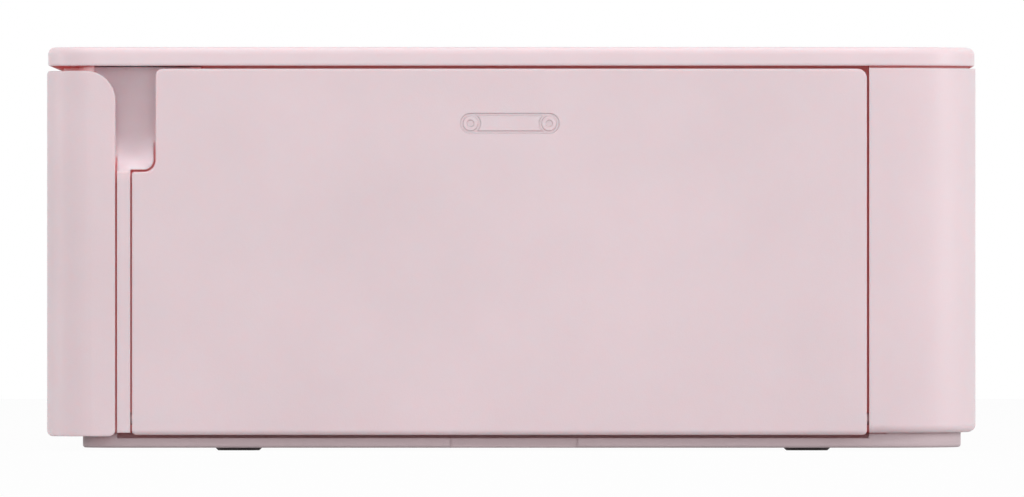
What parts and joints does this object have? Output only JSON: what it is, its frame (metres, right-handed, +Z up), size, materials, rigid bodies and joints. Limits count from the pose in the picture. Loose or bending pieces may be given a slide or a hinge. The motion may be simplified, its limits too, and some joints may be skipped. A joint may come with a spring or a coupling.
{
  "type": "compact photo printer",
  "caption": "Compact desktop photo printer: low rounded casing, fold-down front flap, side ink door, rear dust cover, top display and keys, with its full inner mechanism.",
  "frame": {"origin": "on the surface the feet stand on, under the middle of the casing", "axes": "+X to the printer's right (the ink door side), +Y to its rear, +Z up; the front flap faces -Y"},
  "size_m": [0.1822, 0.133, 0.0576],
  "materials": {
    "shell_plastic": "fine matt moulding",
    "plate_plastic": "satin moulding",
    "base_plastic": "grained moulding",
    "dark_plastic": "moulded",
    "key_plastic": "satin moulding",
    "gear_plastic": "natural acetal",
    "frame_steel": "zinc-plated sheet",
    "shaft_steel": "ground",
    "screw_steel": "zinc-plated",
    "rubber": "matt",
    "roller_rubber": "ground",
    "mat_silicone": "matt",
    "head_aluminium": "extruded",
    "ceramic": "glazed",
    "cover_glass": "polished",
    "board": "solder mask",
    "motor_steel": "nickel-plated",
    "pinion_brass": "cut"
  },
  "bodies": {
    "casing": {"top_plate": "plate_plastic", "body_shell": "shell_plastic", "front_frame": "shell_plastic", "bay_panel": "shell_plastic", "lower_tray": "base_plastic", "flap_hinge_pins": "shaft_steel", "door_hinge_pins": "shaft_steel", "display_glass": "cover_glass", "display_module": "dark_plastic", "key_mat": "mat_silicone", "key_board": "board", "chassis_left": "frame_steel", "chassis_right": "frame_steel", "chassis_base": "frame_steel", "shaft_bushes": "gear_plastic", "cassette_bay": "dark_plastic", "paper_chute": "dark_plastic", "pinch_springs": "shaft_steel", "pick_shaft": "shaft_steel", "bay_sleeve": "dark_plastic", "feed_motor": "motor_steel", "ribbon_motor": "motor_steel", "gear_plate": "frame_steel", "main_board": "board", "dc_inlet": "dark_plastic", "io_board": "board", "card_socket": "motor_steel", "usb_socket": "motor_steel", "case_screws": "screw_steel", "chassis_screws": "screw_steel", "foot_front_left": "rubber", "foot_front_right": "rubber", "foot_rear_left": "rubber", "foot_rear_right": "rubber"},
    "front_flap": {"front_flap": "shell_plastic"},
    "ink_door": {"ink_door": "shell_plastic"},
    "rear_cover": {"rear_cover": "shell_plastic"},
    "eject_lever": {"eject_lever": "key_plastic"},
    "power_button": {"power_button": "key_plastic"},
    "back_button": {"back_button": "key_plastic"},
    "menu_button": {"menu_button": "key_plastic"},
    "direction_pad": {"direction_pad": "key_plastic"},
    "ok_button": {"ok_button": "key_plastic"},
    "print_button": {"print_button": "key_plastic"},
    "platen": {"platen_shaft": "shaft_steel", "platen_sleeve": "roller_rubber"},
    "capstan": {"capstan_roller": "shaft_steel", "feed_gear": "gear_plastic"},
    "pinch_roller": {"pinch_roller": "shaft_steel"},
    "reduction_gear": {"reduction_gear": "gear_plastic"},
    "feed_pinion": {"feed_pinion": "pinion_brass"},
    "takeup": {"takeup_spindle": "gear_plastic", "takeup_gear": "gear_plastic"},
    "ribbon_pinion": {"ribbon_pinion": "pinion_brass"},
    "supply": {"supply_spindle": "gear_plastic"},
    "head": {"head_arm": "frame_steel", "thermal_head": "head_aluminium", "head_strip": "ceramic"},
    "pick_arm": {"pick_arm": "dark_plastic"},
    "pick_roller": {"pick_roller": "roller_rubber"}
  },
  "joints": [
    {"name": "front_flap_hinge", "type": "hinge", "parent": "casing", "child": "front_flap", "pos_m": [0, -0.06325, 0.00365], "axis": [1, 0, 0], "range_deg": [0, 88]},
    {"name": "ink_door_hinge", "type": "hinge", "parent": "casing", "child": "ink_door", "pos_m": [0.0896, 0, 0.0046], "axis": [0, 1, 0], "range_deg": [0, 88]},
    {"name": "rear_cover_hinge", "type": "hinge", "parent": "casing", "child": "rear_cover", "pos_m": [0, 0.0643, 0.0388], "axis": [1, 0, 0], "range_deg": [0, 70]},
    {"name": "eject_lever_pivot", "type": "hinge", "parent": "casing", "child": "eject_lever", "pos_m": [0.0835, 0.0445, 0.028], "axis": [1, 0, 0], "range_deg": [0, 14], "stiffness_Nm_per_rad": 0.004, "springref_deg": -2.86},
    {"name": "power_button_press", "type": "slide", "parent": "casing", "child": "power_button", "axis": [0, 0, 1], "range_m": [-0.0005, 0], "stiffness_N_per_m": 1500, "springref_m": 0.0004},
    {"name": "back_button_press", "type": "slide", "parent": "casing", "child": "back_button", "axis": [0, 0, 1], "range_m": [-0.0005, 0], "stiffness_N_per_m": 1500, "springref_m": 0.0004},
    {"name": "menu_button_press", "type": "slide", "parent": "casing", "child": "menu_button", "axis": [0, 0, 1], "range_m": [-0.0005, 0], "stiffness_N_per_m": 1500, "springref_m": 0.0004},
    {"name": "direction_pad_press", "type": "slide", "parent": "casing", "child": "direction_pad", "axis": [0, 0, 1], "range_m": [-0.0005, 0], "stiffness_N_per_m": 1500, "springref_m": 0.0004},
    {"name": "ok_button_press", "type": "slide", "parent": "casing", "child": "ok_button", "axis": [0, 0, 1], "range_m": [-0.0005, 0], "stiffness_N_per_m": 1500, "springref_m": 0.0004},
    {"name": "print_button_press", "type": "slide", "parent": "casing", "child": "print_button", "axis": [0, 0, 1], "range_m": [-0.0005, 0], "stiffness_N_per_m": 1500, "springref_m": 0.0004},
    {"name": "platen_spin", "type": "hinge", "parent": "casing", "child": "platen", "pos_m": [0, 0.006, 0.022], "axis": [1, 0, 0], "continuous": true},
    {"name": "capstan_spin", "type": "hinge", "parent": "casing", "child": "capstan", "pos_m": [0, 0.022, 0.025], "axis": [1, 0, 0], "continuous": true},
    {"name": "pinch_roller_spin", "type": "hinge", "parent": "casing", "child": "pinch_roller", "pos_m": [0, 0.022, 0.0308], "axis": [1, 0, 0], "continuous": true},
    {"name": "reduction_gear_spin", "type": "hinge", "parent": "casing", "child": "reduction_gear", "pos_m": [-0.0695, 0.0423, 0.03239], "axis": [1, 0, 0], "continuous": true},
    {"name": "feed_pinion_spin", "type": "hinge", "parent": "casing", "child": "feed_pinion", "pos_m": [-0.0695, 0.046, 0.016], "axis": [1, 0, 0], "continuous": true},
    {"name": "takeup_spin", "type": "hinge", "parent": "casing", "child": "takeup", "pos_m": [-0.0695, -0.0125, 0.0395], "axis": [1, 0, 0], "continuous": true},
    {"name": "ribbon_pinion_spin", "type": "hinge", "parent": "casing", "child": "ribbon_pinion", "pos_m": [-0.0695, -0.0221, 0.0323], "axis": [1, 0, 0], "continuous": true},
    {"name": "supply_spin", "type": "hinge", "parent": "casing", "child": "supply", "pos_m": [-0.06, 0.0265, 0.0418], "axis": [1, 0, 0], "continuous": true},
    {"name": "head_swing", "type": "hinge", "parent": "casing", "child": "head", "pos_m": [0, 0.042, 0.0475], "axis": [1, 0, 0], "range_deg": [0, 4.8], "stiffness_Nm_per_rad": 0.6, "springref_deg": -2.86},
    {"name": "pick_arm_swing", "type": "hinge", "parent": "casing", "child": "pick_arm", "pos_m": [0, -0.029, 0.045], "axis": [1, 0, 0], "range_deg": [0, 20], "stiffness_Nm_per_rad": 0.01, "springref_deg": -5.73},
    {"name": "pick_roller_spin", "type": "hinge", "parent": "pick_arm", "child": "pick_roller", "pos_m": [0, -0.042, 0.0355], "axis": [1, 0, 0], "continuous": true}
  ],
  "couplings": [
    {"joint": "pinch_roller_spin", "follows": "capstan_spin", "ratio": -1.2},
    {"joint": "reduction_gear_spin", "follows": "capstan_spin", "ratio": -0.8},
    {"joint": "feed_pinion_spin", "follows": "capstan_spin", "ratio": 2},
    {"joint": "ribbon_pinion_spin", "follows": "takeup_spin", "ratio": -2.3333}
  ]
}
